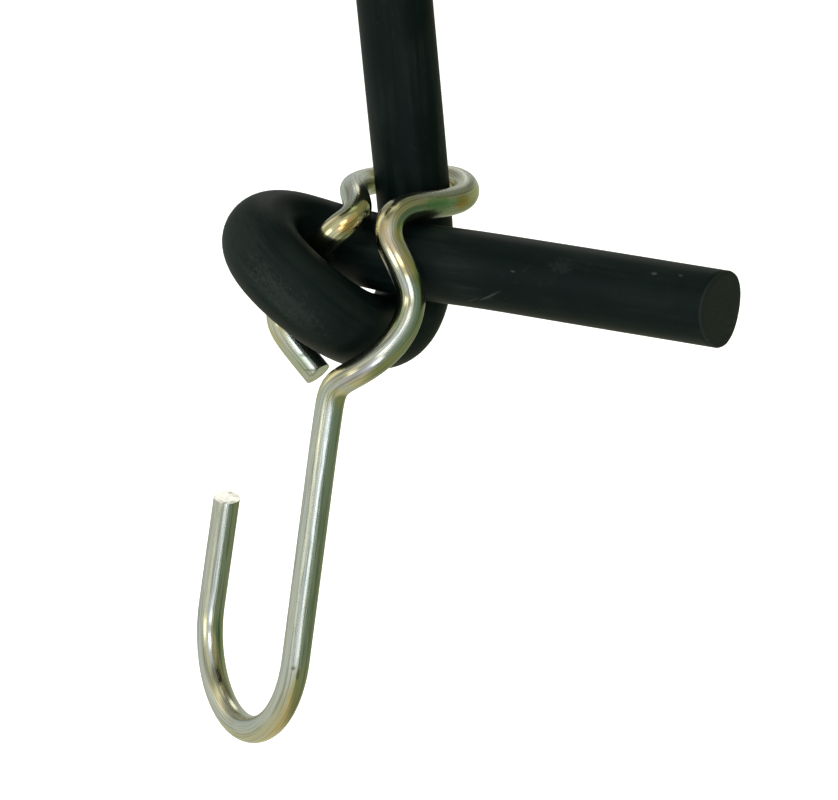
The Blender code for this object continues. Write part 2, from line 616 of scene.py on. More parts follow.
class Surface(Nodes):
    """A material in the making, with the shared effects laid along the straight piece."""

    def __init__(self, name: str, effects: SharedEffects) -> None:
        """Start a material with a plain Principled shader.

        Args:
            name: The material's name.
            effects: The shared groups.
        """
        self.material = bpy.data.materials.new(name)
        self.material.use_nodes = True
        super().__init__(self.material.node_tree)
        self.effects = effects
        self.shader = self.tree.nodes["Principled BSDF"]
        self.shader.location = (900, 0)
        self.tree.nodes["Material Output"].location = (1200, 0)
        self.place = self.stored(ALONG_NAME, "Vector")

    def give(self, name: str, value: object) -> None:
        """Feed an input of the shader."""
        self.feed(self.shader, name, value)

    def group(self, tree: bpy.types.NodeTree, **inputs: object) -> Socket:
        """Place a shared effect and return its first output."""
        node = self.add("ShaderNodeGroup", {"node_tree": tree}, Vector=self.place, **inputs)
        return node.outputs[0]

    def mottle(self, scale: float, low: float, high: float, warp: float) -> Socket:
        """Place soft patches, so many to a metre, between two levels of the noise."""
        return self.group(self.effects.mottle, Scale=scale, Low=low, High=high, Warp=warp)

    def streaks(self, across: float, along: float) -> Socket:
        """Place lengthwise lines, by how many there are to a metre each way."""
        return self.group(self.effects.streaks, Across=across, Along=along)

    def specks(self, scale: float, size: float, share: float) -> Socket:
        """Place scattered dots, and leave a share of them out."""
        return self.group(self.effects.specks, Scale=scale, Size=size, Share=share)

    def add_marks(self, marks: tuple[Mark, ...], mask: object) -> object:
        """Add the marks to a mask, each at its strength.

        Args:
            marks: The marks.
            mask: The mask that they are added to.

        Returns:
            The whole mask.
        """
        for mark in marks:
            shape = self.group(self.effects.mark, **mark.shape())
            mask = self.plus(mask, self.times(shape, mark.strength), clamp=True)
        return mask

    def rough_lines(self, scale: Point, detail: float) -> Socket:
        """Draw noise out into the lines that a blade leaves.

        Args:
            scale: How many lines there are to a metre along each axis.
            detail: The noise's detail.

        Returns:
            The lines.
        """
        blade = self.add("ShaderNodeMapping", Vector=self.place, Scale=scale)
        noise = self.add("ShaderNodeTexNoise", Vector=blade.outputs[0], Scale=1.0, Detail=detail)
        return noise.outputs[0]

    def bump(self, height: Socket, strength: float, distance: float) -> None:
        """Raise the surface by a height through a Bump node."""
        bump = self.add("ShaderNodeBump", Strength=strength, Distance=distance, Height=height)
        self.give("Normal", bump.outputs[0])


@dataclass(frozen=True)
class RubberFinish:
    """Black extruded rubber with a dull bloom, scuffing and a little chalk, plus a painted sheen on
    the outer side of its bends and a painted highlight on the front of the lower loop.
    """

    deep: Color = (0.0012, 0.0042, 0.0040, 1.0)
    # bloom is also the colour of the painted sheen on the outer side of the bends.
    bloom: Color = (0.0085, 0.0140, 0.0125, 1.0)
    # chalk is also the colour of the painted highlight on the front of the lower loop.
    chalk: Color = (0.060, 0.070, 0.062, 1.0)
    roughness: float = 0.42
    specular: float = 0.10
    marks: tuple[Mark, ...] = ()

    def make(self, effects: SharedEffects) -> bpy.types.Material:
        """Make the material of the rope's outside.

        Args:
            effects: The shared groups.

        Returns:
            The material.
        """
        nodes = Surface("black_rubber", effects)
        bend = nodes.stored(BEND_NAME, "Fac")
        patches = nodes.mottle(90.0, 0.35, 0.75, 0.8)
        streaks = nodes.streaks(1100.0, 45.0)
        bloom_and_sheen = nodes.times(patches, nodes.ramp(streaks, 0.3, 0.75))
        # Painted sheen: the outer side of each bend is made lighter, as a sheen would show there.
        painted_bend_sheen = nodes.ramp(bend, 0.15, 0.75)
        bloom_and_sheen = nodes.plus(bloom_and_sheen, nodes.times(painted_bend_sheen, 0.35), clamp=True)
        color = nodes.mix(bloom_and_sheen, self.deep, self.bloom)
        scuffs_and_highlight = nodes.mottle(420.0, 0.62, 0.80, 1.5)
        # The marks add a painted highlight on the front of the lower loop to the random scuffing.
        scuffs_and_highlight = nodes.add_marks(self.marks, nodes.times(scuffs_and_highlight, 0.10))
        dots = nodes.specks(420.0, 0.055, 0.90)
        chalk_and_highlight = nodes.plus(scuffs_and_highlight, nodes.times(dots, 0.22), clamp=True)
        nodes.give("Base Color", nodes.mix(chalk_and_highlight, color, self.chalk))
        dull = nodes.plus(nodes.times(bloom_and_sheen, 0.16), nodes.times(chalk_and_highlight, 0.35))
        nodes.give("Roughness", nodes.plus(dull, self.roughness))
        nodes.give("Specular IOR Level", self.specular)
        fine = nodes.add("ShaderNodeTexNoise", Vector=nodes.place, Scale=2600.0, Detail=3.0)
        height = nodes.plus(nodes.times(streaks, 0.6), nodes.times(fine.outputs[0], 0.5))
        nodes.bump(nodes.plus(height, nodes.times(scuffs_and_highlight, 0.4)), 0.35, RELIEF)
        return nodes.material


@dataclass(frozen=True)
class CutRubberFinish:
    """The face that a blade left across the rubber."""

    color: Color = (0.0050, 0.0075, 0.0068, 1.0)
    torn: Color = (0.0130, 0.0160, 0.0145, 1.0)
    roughness: float = 0.62

    def make(self, effects: SharedEffects) -> bpy.types.Material:
        """Make the material of the rope's cut ends.

        Args:
            effects: The shared groups.

        Returns:
            The material.
        """
        nodes = Surface("cut_rubber", effects)
        lines = nodes.rough_lines((3200.0, 260.0, 260.0), 3.0)
        patches = nodes.mottle(320.0, 0.4, 0.7, 0.6)
        torn = nodes.times(patches, nodes.ramp(lines, 0.35, 0.7))
        nodes.give("Base Color", nodes.mix(torn, self.color, self.torn))
        nodes.give("Roughness", nodes.plus(nodes.times(torn, 0.2), self.roughness))
        nodes.give("Specular IOR Level", 0.3)
        nodes.bump(lines, 0.6, CUT_RELIEF)
        return nodes.material


@dataclass(frozen=True)
class ZincFinish:
    """Drawn steel wire with bright zinc and a faint yellow passivate."""

    silver: Color = (0.62, 0.655, 0.63, 1.0)
    straw: Color = (0.70, 0.65, 0.38, 1.0)
    brown: Color = (0.30, 0.26, 0.13, 1.0)
    leaf: Color = (0.26, 0.50, 0.22, 1.0)
    amber: Color = (0.74, 0.48, 0.15, 1.0)
    steel: Color = (0.20, 0.225, 0.18, 1.0)
    roughness: float = 0.21
    blooms: tuple[Mark, ...] = ()
    marks: tuple[Mark, ...] = ()

    def make(self, effects: SharedEffects) -> bpy.types.Material:
        """Make the material of the wire's outside.

        Args:
            effects: The shared groups.

        Returns:
            The material.
        """
        nodes = Surface("zinc_wire", effects)
        bend = nodes.stored(BEND_NAME, "Fac")
        grain = nodes.streaks(3800.0, 95.0)
        wide = nodes.streaks(1500.0, 30.0)
        curved = nodes.ramp(nodes.math("ABSOLUTE", bend), 0.03, 0.22)
        tinted = nodes.plus(nodes.times(curved, 0.55), 0.35)
        yellow = nodes.times(nodes.ramp(wide, 0.38, 0.60), tinted)
        yellow = nodes.plus(yellow, nodes.times(curved, 0.35), clamp=True)
        color = nodes.mix(yellow, self.silver, self.straw)
        burnt = nodes.times(nodes.ramp(wide, 0.55, 0.44), nodes.ramp(grain, 0.48, 0.60))
        burnt = nodes.times(burnt, nodes.plus(nodes.times(curved, 0.45), 0.25))
        color = nodes.mix(burnt, color, self.brown)
        leaf = nodes.mottle(95.0, 0.56, 0.74, 0.4)
        color = nodes.mix(nodes.times(leaf, 0.30), color, self.leaf)
        amber = nodes.mottle(130.0, 0.60, 0.78, 0.9)
        color = nodes.mix(nodes.times(amber, 0.30), color, self.amber)
        for bloom in self.blooms:
            mask = nodes.group(effects.mark, **bloom.shape())
            color = nodes.mix(nodes.times(mask, bloom.strength), color, bloom.color)
        rubbed = nodes.ramp(curved, 0.0, 1.0, 0.42, 0.16)
        worn = nodes.times(nodes.ramp(grain, 0.50, 0.62), rubbed)
        color = nodes.mix(worn, color, self.steel)
        nicks = nodes.add_marks(self.marks, 0.0)
        color = nodes.mix(nicks, color, self.steel)
        nodes.give("Base Color", color)
        nodes.give("Metallic", 1.0)
        cloud = nodes.mottle(260.0, 0.3, 0.8, 0.5)
        rough = nodes.plus(nodes.times(cloud, 0.08), self.roughness)
        rough = nodes.math("SUBTRACT", rough, nodes.times(curved, 0.11))
        nodes.give("Roughness", rough)
        pits = nodes.specks(1500.0, 0.18, 0.85)
        height = nodes.math("SUBTRACT", grain, nodes.times(pits, 0.3))
        nodes.bump(height, 0.55, RELIEF)
        return nodes.material


@dataclass(frozen=True)
class ShearedZincFinish:
    """The end of the wire where a cropping blade went through it."""

    bright: Color = (0.93, 0.92, 0.86, 1.0)
    dull: Color = (0.60, 0.60, 0.52, 1.0)
    roughness: float = 0.30

    def make(self, effects: SharedEffects) -> bpy.types.Material:
        """Make the material of the wire's sheared ends.

        Args:
            effects: The shared groups.

        Returns:
            The material.
        """
        nodes = Surface("sheared_wire", effects)
        patches = nodes.mottle(700.0, 0.45, 0.75, 1.0)
        nodes.give("Base Color", nodes.mix(patches, self.bright, self.dull))
        nodes.give("Metallic", 1.0)
        nodes.give("Roughness", nodes.plus(nodes.times(patches, 0.2), self.roughness))
        nodes.bump(nodes.rough_lines((5200.0, 700.0, 700.0), 2.0), 0.5, RELIEF)
        return nodes.material


def write_straight(mesh: bpy.types.Mesh, straight: np.ndarray, bend: np.ndarray) -> None:
    """Store on each vertex where it is on the straightened piece.

    Args:
        mesh: The mesh to write to.
        straight: Each vertex's place on the straightened piece.
        bend: How strongly the line bends away from each vertex.
    """
    along = mesh.attributes.new(ALONG_NAME, "FLOAT_VECTOR", "POINT")
    along.data.foreach_set("vector", straight.astype(np.float32).ravel())
    bent = mesh.attributes.new(BEND_NAME, "FLOAT", "POINT")
    bent.data.foreach_set("value", bend.astype(np.float32))


def select_only(obj: bpy.types.Object) -> None:
    """Make the object the only selected one, and the active one.

    Args:
        obj: The object.
    """
    bpy.ops.object.select_all(action="DESELECT")
    obj.select_set(True)
    bpy.context.view_layer.objects.active = obj


@dataclass
class RopeRings:
    """The rope's rings in order, with where each point is on the straight rope."""

    path: Path
    points: list[np.ndarray] = field(default_factory=list)
    straight: list[np.ndarray] = field(default_factory=list)
    bends: list[np.ndarray] = field(default_factory=list)

    def add(self, index: int, offsets: np.ndarray, ahead: np.ndarray) -> None:
        """Lay down the next ring.

        Args:
            index: The ring's station on the path.
            offsets: Its points, from the station.
            ahead: How far each point moves along the rope.
        """
        path = self.path
        self.points.append(path.points[index] + offsets + np.outer(ahead, path.tangents[index]))
        across = offsets @ path.normals[index]
        aside = offsets @ path.sides[index]
        self.straight.append(np.column_stack([across, aside, path.along[index] + ahead]))
        self.bends.append(-(offsets @ path.bends[index]))

    def close(self) -> None:
        """Add the middle point of each end, after all the rings."""
        middles = [self.points[end].mean(axis=0, keepdims=True) for end in (0, -1)]
        self.points += middles
        for end in (0, -1):
            self.straight.append(np.array([[0.0, 0.0, self.path.along[end]]]))
            self.bends.append(np.zeros(1))


@dataclass
class RubberRope:
    """The solid rubber rope, knotted round both hooks, with two cut tails."""

    layout: KnotLayout
    sides: int = 64
    step: float = 0.7 * MM
    flatten: float = 0.07
    widen: float = 0.02
    press: float = 0.015
    ripple: float = 0.0025
    ripple_turns: float = 40.0
    swell: float = 0.002
    swell_turns: float = 230.0
    chamfer: float = 0.35 * MM
    chamfer_inset: float = 0.35
    chamfer_sink: float = 0.3
    cut_slope: float = 0.42
    cut_toward: Point = (-0.14, -0.95, 0.30)
    cut_bulge: float = 0.05
    cut_rings: tuple[float, ...] = (0.97, 0.86, 0.66, 0.44, 0.22)
    slant_rings: int = 14
    dish: float = 0.25 * MM
    smooth_angle: float = math.radians(50.0)

    @property
    def radius(self) -> float:
        """Return half the rope's diameter."""
        return self.layout.rope_diameter / 2

    def loop(self) -> np.ndarray:
        """Lay the centre line of one knot.

        Returns:
            Its points, from the span to the tail's end.
        """
        route = np.array(LOOP_ROUTE)
        tail_end = route[-1] + unit(np.array(TAIL_DIRECTION)) * self.layout.tail_length / MM
        tail = [route[-1] + (tail_end - route[-1]) * share for share in (0.25, 0.5, 0.75, 1.0)]
        return smooth_curve(np.vstack([route, tail])) * MM

    def path(self) -> Path:
        """Lay the rope's whole centre line.

        Returns:
            The line, from the upper tail to the lower one.
        """
        upper, lower = self.layout.matrices()
        loop = self.loop()
        line = np.vstack([placed(loop, upper)[::-1], placed(loop, lower)])
        return Path(even_points(line, self.step))

    def section(self, path: Path, index: int) -> np.ndarray:
        """Shape one ring of the rope, flattened a little where it bends hard.

        Args:
            path: The rope's centre line.
            index: The station.

        Returns:
            The ring's points, from the station.
        """
        angles = np.linspace(0.0, 2 * math.pi, self.sides, endpoint=False)
        ring = np.outer(np.cos(angles), path.normals[index])
        ring += np.outer(np.sin(angles), path.sides[index])
        bend = path.bends[index] * self.radius
        toward = ring @ bend
        hard = float(np.dot(bend, bend))
        size = 1.0 - self.flatten * toward**2 + self.widen * hard - self.press * toward
        along = path.along[index]
        size = size + self.ripple * np.sin(3 * angles + self.ripple_turns * along)
        size = size + self.swell * np.sin(self.swell_turns * along)
        return ring * (self.radius * size)[:, None]

    def cut(
        self, offsets: np.ndarray, tangent: np.ndarray, outward: float, toward: np.ndarray
    ) -> np.ndarray:
        """Slant and bow the face of a cut end.

        Args:
            offsets: Points of the end, from the centre line.
            tangent: The direction of the line there.
            outward: 1 where the line leaves the rope there, -1 where it enters.
            toward: Which side of the end the blade came from.

        Returns:
            How far along the line each point lies.
        """
        face = unit(toward - tangent * np.dot(toward, tangent))
        lift = offsets @ face / self.radius
        other = offsets @ np.cross(tangent, face) / self.radius
        bulge = self.cut_bulge * (lift**2 - other**2)
        return -outward * self.radius * (self.cut_slope * lift + bulge)

    def end_rings(
        self, path: Path, index: int, outward: float, toward: np.ndarray
    ) -> list[tuple[np.ndarray, np.ndarray]]:
        """Shape the rings of a cut end, from its rim to its middle.

        Args:
            path: The rope's centre line.
            index: The end's station.
            outward: 1 where the line leaves the rope there, -1 where it enters.
            toward: Which side of the end the blade came from.

        Returns:
            Each ring's offsets, and how far along the line each point lies.
        """
        rim = self.section(path, index)
        inside = 1.0 - self.chamfer / self.radius * self.chamfer_inset
        shapes = [(1.0, self.chamfer), (inside, self.chamfer * self.chamfer_sink)]
        shapes += [(inside * inset, self.dish * (1 - inset**2)) for inset in self.cut_rings]
        rings = []
        for scale, sunk in shapes:
            offsets = rim * scale
            ahead = self.cut(offsets, path.tangents[index], outward, toward) - outward * sunk
            rings.append((offsets, ahead))
        return rings

    def lay_rings(self, path: Path) -> RopeRings:
        """Lay down every ring, from the upper cut end to the lower one.

        Args:
            path: The rope's centre line.

        Returns:
            The rings, with the two middle points after them.
        """
        upper, _ = self.layout.matrices()
        last = len(path.points) - 1
        upper_cut = np.array(upper.to_3x3() @ Vector(self.cut_toward))
        lower_cut = np.array(self.cut_toward)
        rings = RopeRings(path)
        for offsets, ahead in reversed(self.end_rings(path, 0, -1.0, upper_cut)):
            rings.add(0, offsets, ahead)
        for index in range(1, last):
            offsets = self.section(path, index)
            ahead = np.zeros(self.sides)
            for end, outward, toward in ((0, -1.0, upper_cut), (last, 1.0, lower_cut)):
                share = 1.0 - abs(end - index) / self.slant_rings
                if share > 0:
                    slant = self.cut(offsets, path.tangents[end], outward, toward)
                    ahead = (slant - outward * self.chamfer) * share
            rings.add(index, offsets, ahead)
        for offsets, ahead in self.end_rings(path, last, 1.0, lower_cut):
            rings.add(last, offsets, ahead)
        rings.close()
        return rings

    def join_rings(self, count: int) -> list[tuple[int, ...]]:
        """Make the faces between the rings and the fans that close the ends.

        Args:
            count: How many rings there are.

        Returns:
            The faces, facing outwards.
        """
        faces: list[tuple[int, ...]] = []
        for near in range(0, (count - 1) * self.sides, self.sides):
            far = near + self.sides
            for side in range(self.sides):
                after = (side + 1) % self.sides
                faces.append((near + side, near + after, far + after, far + side))
        low = count * self.sides
        last = low - self.sides
        for side in range(self.sides):
            after = (side + 1) % self.sides
            faces.append((low, after, side))
            faces.append((low + 1, last + side, last + after))
        return faces

    def build(self) -> tuple[bpy.types.Object, Path]:
        """Make the rope's mesh.

        Returns:
            The rope and its centre line.
        """
        path = self.path()
        rings = self.lay_rings(path)
        count = len(rings.points) - 2
        faces = self.join_rings(count)
        mesh = bpy.data.meshes.new("rubber_rope")
        mesh.from_pydata(np.vstack(rings.points).tolist(), [], faces)
        write_straight(mesh, np.vstack(rings.straight), np.concatenate(rings.bends))
        rope = bpy.data.objects.new("rubber_rope", mesh)
        bpy.context.scene.collection.objects.link(rope)
        end_count = len(self.cut_rings) + 2
        outer = (end_count - 1) * self.sides
        inner = (count - end_count) * self.sides
        middles = {count * self.sides, count * self.sides + 1}
        on_cut = [max(f) < outer or min(f) >= inner or not middles.isdisjoint(f) for f in faces]
        mesh.polygons.foreach_set("material_index", np.array(on_cut, np.int32))
        mesh.polygons.foreach_set("use_smooth", np.ones(len(faces), bool))
        mesh.update()
        select_only(rope)
        bpy.ops.object.shade_smooth_by_angle(angle=self.smooth_angle)
        return rope, path

    def dress(
        self, rope: bpy.types.Object, effects: SharedEffects, marks: tuple[Mark, ...]
    ) -> None:
        """Give the rope its rubber and the cut ends their bladed faces."""
        rope.data.materials.append(RubberFinish(marks=marks).make(effects))
        rope.data.materials.append(CutRubberFinish().make(effects))

    def join(self, rope: bpy.types.Object, path: Path) -> None:
        """Args:
            rope: The rope.
            path: Its centre line; not used.
        """
        upper, lower = self.layout.matrices()
        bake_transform(rope)
        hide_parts("rope_upper_loop", "rope_span", "rope_lower_loop")


@dataclass
class WireHook:
    """One wire hook: tip leg, bowl, shank, S bend, ring and curl in one wire."""

    layout: KnotLayout
    name: str
    body: Body
    matrix: Matrix
    sides: int = 40
    leg_step: float = 1.2 * MM
    head_step: float = 0.6 * MM
    bowl_steps: int = 48
    rim: float = 0.28 * MM
    tip_slope: float = 0.27
    curl_slope: float = 0.45
    overrun: float = 1.4 * MM
    tip_toward: Point = (-0.05, -0.9, 0.4)
    curl_toward: Point = (-0.05, -0.9, 0.4)
    shear_reach: float = 4.6 * MM
    end_reach: float = 3.0 * MM
    rim_segments: int = 4
    rim_profile: float = 0.6
    smooth_angle: float = math.radians(40.0)

    def center_line(self) -> np.ndarray:
        """Lay the wire's centre line.

        Returns:
            The stations, from a little past the tip to a little past the curl's end.
        """
        layout = self.layout
        up, across = layout.hook_axes()
        head = smooth_curve(np.array(HEAD_ROUTE) * MM)
        center = layout.bowl_center()
        radius = layout.bowl_radius
        angles = np.linspace(math.pi - layout.tip_splay, 0.0, self.bowl_steps + 1)
        arc = np.outer(np.cos(angles), across) + np.outer(np.sin(angles), up)
        bowl = center - radius * arc
        rise = across * math.sin(layout.tip_splay) + up * math.cos(layout.tip_splay)
        leg_count = round(layout.tip_length / self.leg_step)
        leg_shares = np.linspace(1, 0, leg_count, endpoint=False)
        leg = bowl[0] + np.outer(leg_shares, rise) * layout.tip_length
        shank_count = round(layout.shank_length / self.leg_step)
        shank_shares = np.linspace(0, 1, shank_count, endpoint=False)[1:]
        shank = bowl[-1] + np.outer(shank_shares, head[0] - bowl[-1])
        head = even_points(head, self.head_step)
        head = np.vstack([head, head[-1] + unit(head[-1] - head[-2]) * self.overrun])
        leg = np.vstack([leg[0] + rise * self.overrun, leg])
        return placed(np.vstack([leg, bowl, shank, head]), self.matrix)

    def aim(self, turn: Matrix, pivot: np.ndarray) -> None:
        """Turn the selected ring about a point, one world axis after another.

        Args:
            turn: The turn.
            pivot: The point.
        """
        for axis, angle in zip("XYZ", turn.to_euler("XYZ")):
            if abs(angle) >= LEAST_TURN:
                bpy.ops.transform.rotate(
                    value=-angle, orient_axis=axis, center_override=tuple(pivot)
                )

    def sweep(self, path: Path) -> bpy.types.Object:
        """Extrude a circle along the wire's line, turning it at each station.

        Args:
            path: The wire's centre line.

        Returns:
            The wire, closed at both ends.
        """
        bpy.ops.object.select_all(action="DESELECT")
        start = path.points[0]
        facing = Vector(path.tangents[0]).to_track_quat("Z", "Y")
        bpy.ops.mesh.primitive_circle_add(
            vertices=self.sides,
            radius=self.layout.wire_diameter / 2,
            fill_type="NGON",
            location=tuple(start),
            rotation=facing.to_euler(),
        )
        wire = bpy.context.object
        wire.name = self.name
        wire.data.name = self.name
        bpy.ops.object.transform_apply(location=True, rotation=True, scale=True)
        bpy.ops.object.mode_set(mode="EDIT")
        bpy.ops.mesh.select_all(action="SELECT")
        here = path.tangents[0]
        for index in range(1, len(path.points)):
            step = path.points[index] - path.points[index - 1]
            bpy.ops.mesh.extrude_region_move(TRANSFORM_OT_translate={"value": tuple(step)})
            tangent = path.tangents[index]
            turn = Vector(here).rotation_difference(Vector(tangent)).to_matrix()
            self.aim(turn, path.points[index])
            here = tangent
        bpy.ops.mesh.select_all(action="SELECT")
        bpy.ops.mesh.normals_make_consistent(inside=False)
        bpy.ops.object.mode_set(mode="OBJECT")
        return wire

    def select_by(
        self, wire: bpy.types.Object, test: Callable[[np.ndarray, np.ndarray], bool]
    ) -> int:
        """Select the faces that pass a test, in edit mode.

        Args:
            wire: The wire.
            test: Takes a face's centre and normal.

        Returns:
            How many faces passed.
        """
        bpy.ops.object.mode_set(mode="OBJECT")
        count = 0
        for face in wire.data.polygons:
            face.select = bool(test(np.array(face.center), np.array(face.normal)))
            count += face.select
        for edge in wire.data.edges:
            edge.select = False
        for vertex in wire.data.vertices:
            vertex.select = False
        bpy.ops.object.mode_set(mode="EDIT")
        bpy.ops.mesh.select_mode(type="FACE")
        return count

    def shear(self, wire: bpy.types.Object, place: np.ndarray, normal: np.ndarray) -> None:
        """Cut the wire off square to a normal, and round the rim of the cut.

        Args:
            wire: The wire.
            place: A point of the cut.
            normal: The direction that the cut faces.
        """
        bpy.ops.object.mode_set(mode="OBJECT")
        points = np.array([vertex.co for vertex in wire.data.vertices])
        near = np.linalg.norm(points - place, axis=1) < self.shear_reach
        for vertex, chosen in zip(wire.data.vertices, near):
            vertex.select = bool(chosen)
        for edge in wire.data.edges:
            edge.select = bool(near[edge.vertices[0]] and near[edge.vertices[1]])
        for face in wire.data.polygons:
            face.select = bool(all(near[v] for v in face.vertices))
        bpy.ops.object.mode_set(mode="EDIT")
        bpy.ops.mesh.select_mode(type="VERT")
        bpy.ops.mesh.bisect(
            plane_co=tuple(place),
            plane_no=tuple(normal),
            use_fill=True,
            clear_inner=False,
            clear_outer=True,
            threshold=MERGE_DISTANCE,
        )

        def is_cut(center: np.ndarray, facing: np.ndarray) -> bool:
            """Return whether a face lies on the cut."""
            apart = np.linalg.norm(center - place)
            return apart < self.layout.wire_diameter and np.dot(facing, normal) > ON_CUT

        found = self.select_by(wire, is_cut)
        LOG.info("%s: %d faces on the cut", self.name, found)
        bpy.ops.mesh.bevel(
            offset=self.rim,
            segments=self.rim_segments,
            profile=self.rim_profile,
            affect="EDGES",
            clamp_overlap=True,
        )
        bpy.ops.object.mode_set(mode="OBJECT")

    def build(self) -> tuple[bpy.types.Object, Path]:
        """Make the hook's mesh.

        Returns:
            The hook and the wire's centre line.
        """
        path = Path(self.center_line())
        wire = self.sweep(path)
        self.finish_ends(wire, path)
        return wire, path

    def finish_ends(self, wire: bpy.types.Object, path: Path) -> None:
        """Shear both ends of the wire at a slant.

        Args:
            wire: The wire.
            path: Its centre line.
        """
        turn = np.array(self.matrix.to_3x3())
        for index, outward, slope, toward in (
            (0, -path.tangents[0], self.tip_slope, self.tip_toward),
            (-1, path.tangents[-1], self.curl_slope, self.curl_toward),
        ):
            toward_here = turn @ np.array(toward)
            aside = unit(toward_here - outward * np.dot(toward_here, outward))
            normal = unit(outward + aside * slope)
            self.shear(wire, path.points[index] - outward * self.overrun, normal)

    def dress(
        self, wire: bpy.types.Object, path: Path, materials: list[bpy.types.Material]
    ) -> None:
        """Store the straightened places and give the wire its finishes.

        Args:
            wire: The wire.
            path: Its centre line.
            materials: The finish of its outside, then that of its cut ends.
        """
        places = np.array([vertex.co for vertex in wire.data.vertices])
        straight, bend = path.straighten(places)
        write_straight(wire.data, straight, bend)
        for material in materials:
            wire.data.materials.append(material)
        ends = ((path.points[0], -path.tangents[0]), (path.points[-1], path.tangents[-1]))
        for face in wire.data.polygons:
            for end, outward in ends:
                near = np.linalg.norm(np.array(face.center) - end) < self.end_reach
                if near and np.dot(np.array(face.normal), outward) > NEAR_CUT:
                    face.material_index = 1
        wire.data.polygons.foreach_set("use_smooth", np.ones(len(wire.data.polygons), bool))
        wire.data.update()
        select_only(wire)
        bpy.ops.object.shade_smooth_by_angle(angle=self.smooth_angle)

    def join(self, wire: bpy.types.Object) -> None:
        """Hang the wire on its body in place of the plain hook.

        Args:
            wire: The wire.
        """
        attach(wire, self.body.value)
        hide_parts(self.body.value)


